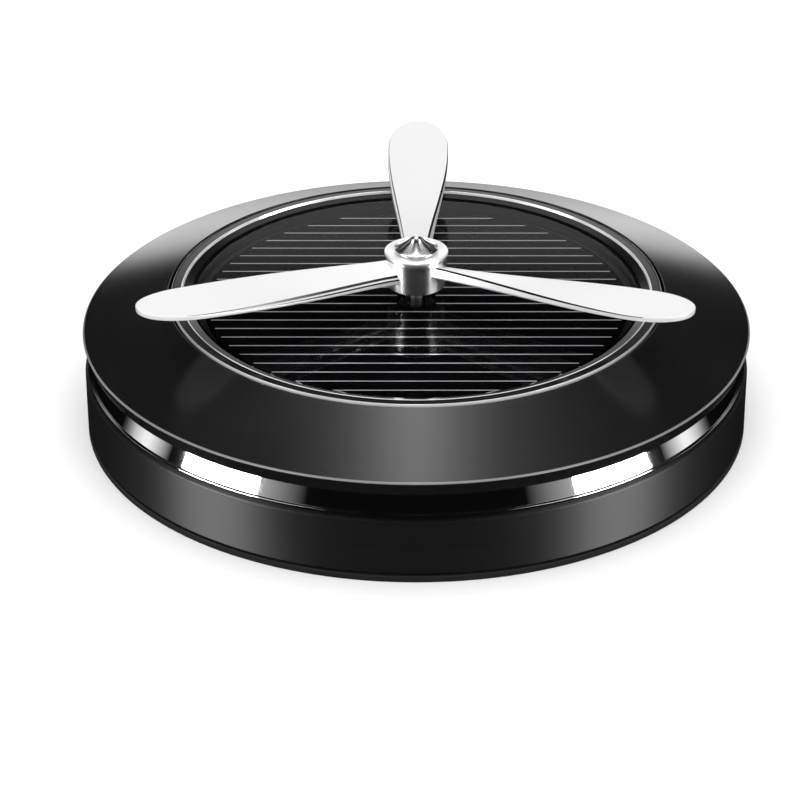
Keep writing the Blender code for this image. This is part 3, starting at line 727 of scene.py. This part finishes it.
def blade_section(radius):
    """Points round the blade, in metres, from the foot of its low edge over the top face and back below.

    The low edge goes down in two steep steps with a ledge between them. Both steps run out before the tip.
    """
    along = max(0.0, (radius - BLADE_NECK_R) / (BLADE_TIP_R - BLADE_NECK_R))
    thick = BLADE_ROOT_THICK + (BLADE_TIP_THICK - BLADE_ROOT_THICK) * min(1.0, along * 1.3)
    pitch = math.radians(BLADE_PITCH_DEG) * max(0.0, 1 - along) ** 2.2
    half = max(0.2, blade_width(radius) / math.cos(pitch) / 2)
    t = min(thick / 2, half)
    upper, lower = (max(0.0, min(1.0, (end - radius) / STEP_RUN_OUT)) for end in STEP_ENDS_R)
    lip = min(0.06 + 0.13 * upper, half * 0.4)
    drops = (0.02 + 0.28 * upper, 0.01 + 0.04 * upper, 0.01 + 0.2 * lower)
    widths = (0.03 + 0.1 * upper, 0.05 + 0.18 * upper, 0.02 + 0.06 * lower, 0.02)
    c, n = half - sum(widths), t
    stepped = [(c, n)]
    for width, drop in zip(widths, drops + (0.03,)):
        c, n = c + width, n - drop
        stepped.append((c, n))
    section = stepped[::-1] + [
        (-half + lip, t), (-half, t - lip), (-half, lip - t),
        (lip - half, -t), (half - lip, -t), (half, lip - t),
    ]
    middle = BLADE_SWEEP * along
    height = BLADE_ROOT_HEIGHT + BLADE_RISE * (radius - BLADE_NECK_R)
    return [
        Vector((
            radius,
            c * math.cos(pitch) + n * math.sin(pitch) + middle,
            height - c * math.sin(pitch) + n * math.cos(pitch),
        )) * MM
        for c, n in section
    ]


def make_blades(material, groove):
    stations = 48
    # Painted shade: the faces of the steps in the low edge, out to where each step ends, take the second,
    # near-black material.
    painted_shade_strips = {1: STEP_ENDS_R[1], 3: STEP_ENDS_R[0], 5: STEP_ENDS_R[0]}
    span = BLADE_TIP_R - BLADE_ROOT_R
    radii = [BLADE_ROOT_R + span * math.sin(math.pi / 2 * i / stations) for i in range(stations + 1)]
    for number in range(1, BLADES + 1):
        bm = bmesh.new()
        loops = [[bm.verts.new(p) for p in blade_section(radius)] for radius in radii]
        for radius, inner, outer in zip(radii, loops, loops[1:]):
            for i in range(len(inner)):
                j = (i + 1) % len(inner)
                face = bm.faces.new((inner[i], inner[j], outer[j], outer[i]))
                face.material_index = int(radius < painted_shade_strips.get(i, 0))
        bm.faces.new(loops[0])
        bm.faces.new(loops[-1])
        blade = finish_mesh(f"blade_{number}_polished", bm, material, 40)
        # The second material is the near-black painted shade on the steps.
        blade.data.materials.append(groove)
        blade.rotation_euler.z = math.radians(FIRST_BLADE_DEG + 360 * (number - 1) / BLADES)
        place(blade, "rotor", "chrome", f"blade_{number}")


def dress_inside():
    """Procedural finishes for the CAD pieces that show only when the housing is off."""
    finishes = {
        "balm": plain_detail("balm", (0.80, 0.74, 0.58), 0.55, scale=500.0, strength=0.5),
        "board": plain_detail("board", (0.010, 0.012, 0.012), 0.4),
        "black_plastic": plain_detail(
            "black_plastic", (0.025, 0.025, 0.027), 0.5, scale=1500.0, strength=0.3,
        ),
        "silicone_ring": plain_detail("silicone_ring", (0.012, 0.012, 0.012), 0.7),
        "steel": plain_detail("steel", (0.58, 0.58, 0.60), 0.3, 1.0, 1200.0, 0.1, 0.06),
        "lamination": plain_detail("lamination", (0.25, 0.25, 0.27), 0.45, 1.0),
        "copper": plain_detail("copper", (0.55, 0.20, 0.07), 0.3, 1.0),
        "brass": plain_detail("brass", (0.72, 0.55, 0.28), 0.35, 1.0),
        "bronze": plain_detail("bronze", (0.50, 0.33, 0.18), 0.5, 1.0, 2500.0, 0.4),
        "ferrite": plain_detail("ferrite", (0.06, 0.06, 0.065), 0.6),
        "red": plain_detail("red_insulation", (0.60, 0.02, 0.02), 0.45),
        "black": plain_detail("black_insulation", (0.02, 0.02, 0.02), 0.45),
    }
    worn_by = {
        "balm": ["fragrance_ring"], "board": ["cell_board"], "black_plastic": ["motor_deck", "motor_end_cap"],
        "silicone_ring": ["grip_ring"], "lamination": ["armature_core"],
        "steel": [
            "motor_can", "shaft", "motor_screw_1", "motor_screw_2",
            "cover_screw_1", "cover_screw_2", "cover_screw_3",
        ],
        "copper": ["winding_1", "winding_2", "winding_3"],
        "brass": ["brush_1", "brush_2", "terminal_1", "terminal_2", "commutator"],
        "bronze": ["front_bushing", "rear_bushing", "thrust_washer"], "ferrite": ["magnet_1", "magnet_2"],
        "red": ["wire_red"], "black": ["wire_black"],
    }
    for finish, nodes in worn_by.items():
        for node in nodes:
            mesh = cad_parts[node].data
            mesh.materials.clear()
            mesh.materials.append(finishes[finish])
            mesh.shade_smooth()
            mesh.set_sharp_from_angle(angle=math.radians(35))


make_camera()
make_stage()

BLACK = (0.004, 0.004, 0.0042)
CHROME = (0.92, 0.92, 0.93)
# Rings of painted highlight on the cut edges of the rim and the bezel, which are uncoated metal.
rim_edge_highlight = [(RIM_R - 0.2, RIM_R + 0.1, RIM_EDGE - 0.12)]
bezel_edge_highlights = [(27.98, 28.24, BEZEL_TOP - 0.3), (29.26, BEZEL_R + 0.1, BEZEL_TOP - 0.34)]
bright_chrome = chrome("bright_chrome", (0.88, 0.88, 0.89), 0.04)
make_cover(black_anodised("cover_black", BLACK, 0.23, 0.5, rim_edge_highlight, grey=0.24))
make_bezel(black_anodised("bezel_black", BLACK, 0.13, 0.2, bezel_edge_highlights, grey=0.8, specular=0.2))
make_trim(bright_chrome)
make_tray(black_anodised("tray_black", BLACK, 0.5, 0.9))
make_pad(plain_detail("silicone", (0.004, 0.004, 0.004), 0.75, specular=0.2))
make_cell(
    clear_cover(),
    plain_detail("silicon_wafer", (0.003, 0.003, 0.0036), 0.35, scale=700.0, strength=0.05, specular=0.0),
    plain_detail("printed_silver", (0.72, 0.72, 0.73), 0.2, metallic=0.55, scale=1500.0, strength=0.05),
)
make_hub(turned_chrome("hub_chrome", CHROME, 0.3, 0.95, satin_over=HUB_TOP - 0.25))
make_nut(turned_chrome("nut_chrome", CHROME, 0.22, 0.9, satin_over=NUT_TOP))
make_blades(
    white_metal("blade_metal", (0.66, 0.66, 0.665), 0.1, 0.3),
    # Near-black metal, painted as shade on the faces of the blade's steps.
    plain_detail("painted_step_shade", (0.02, 0.02, 0.02), 0.3, metallic=1.0),
)
dress_inside()
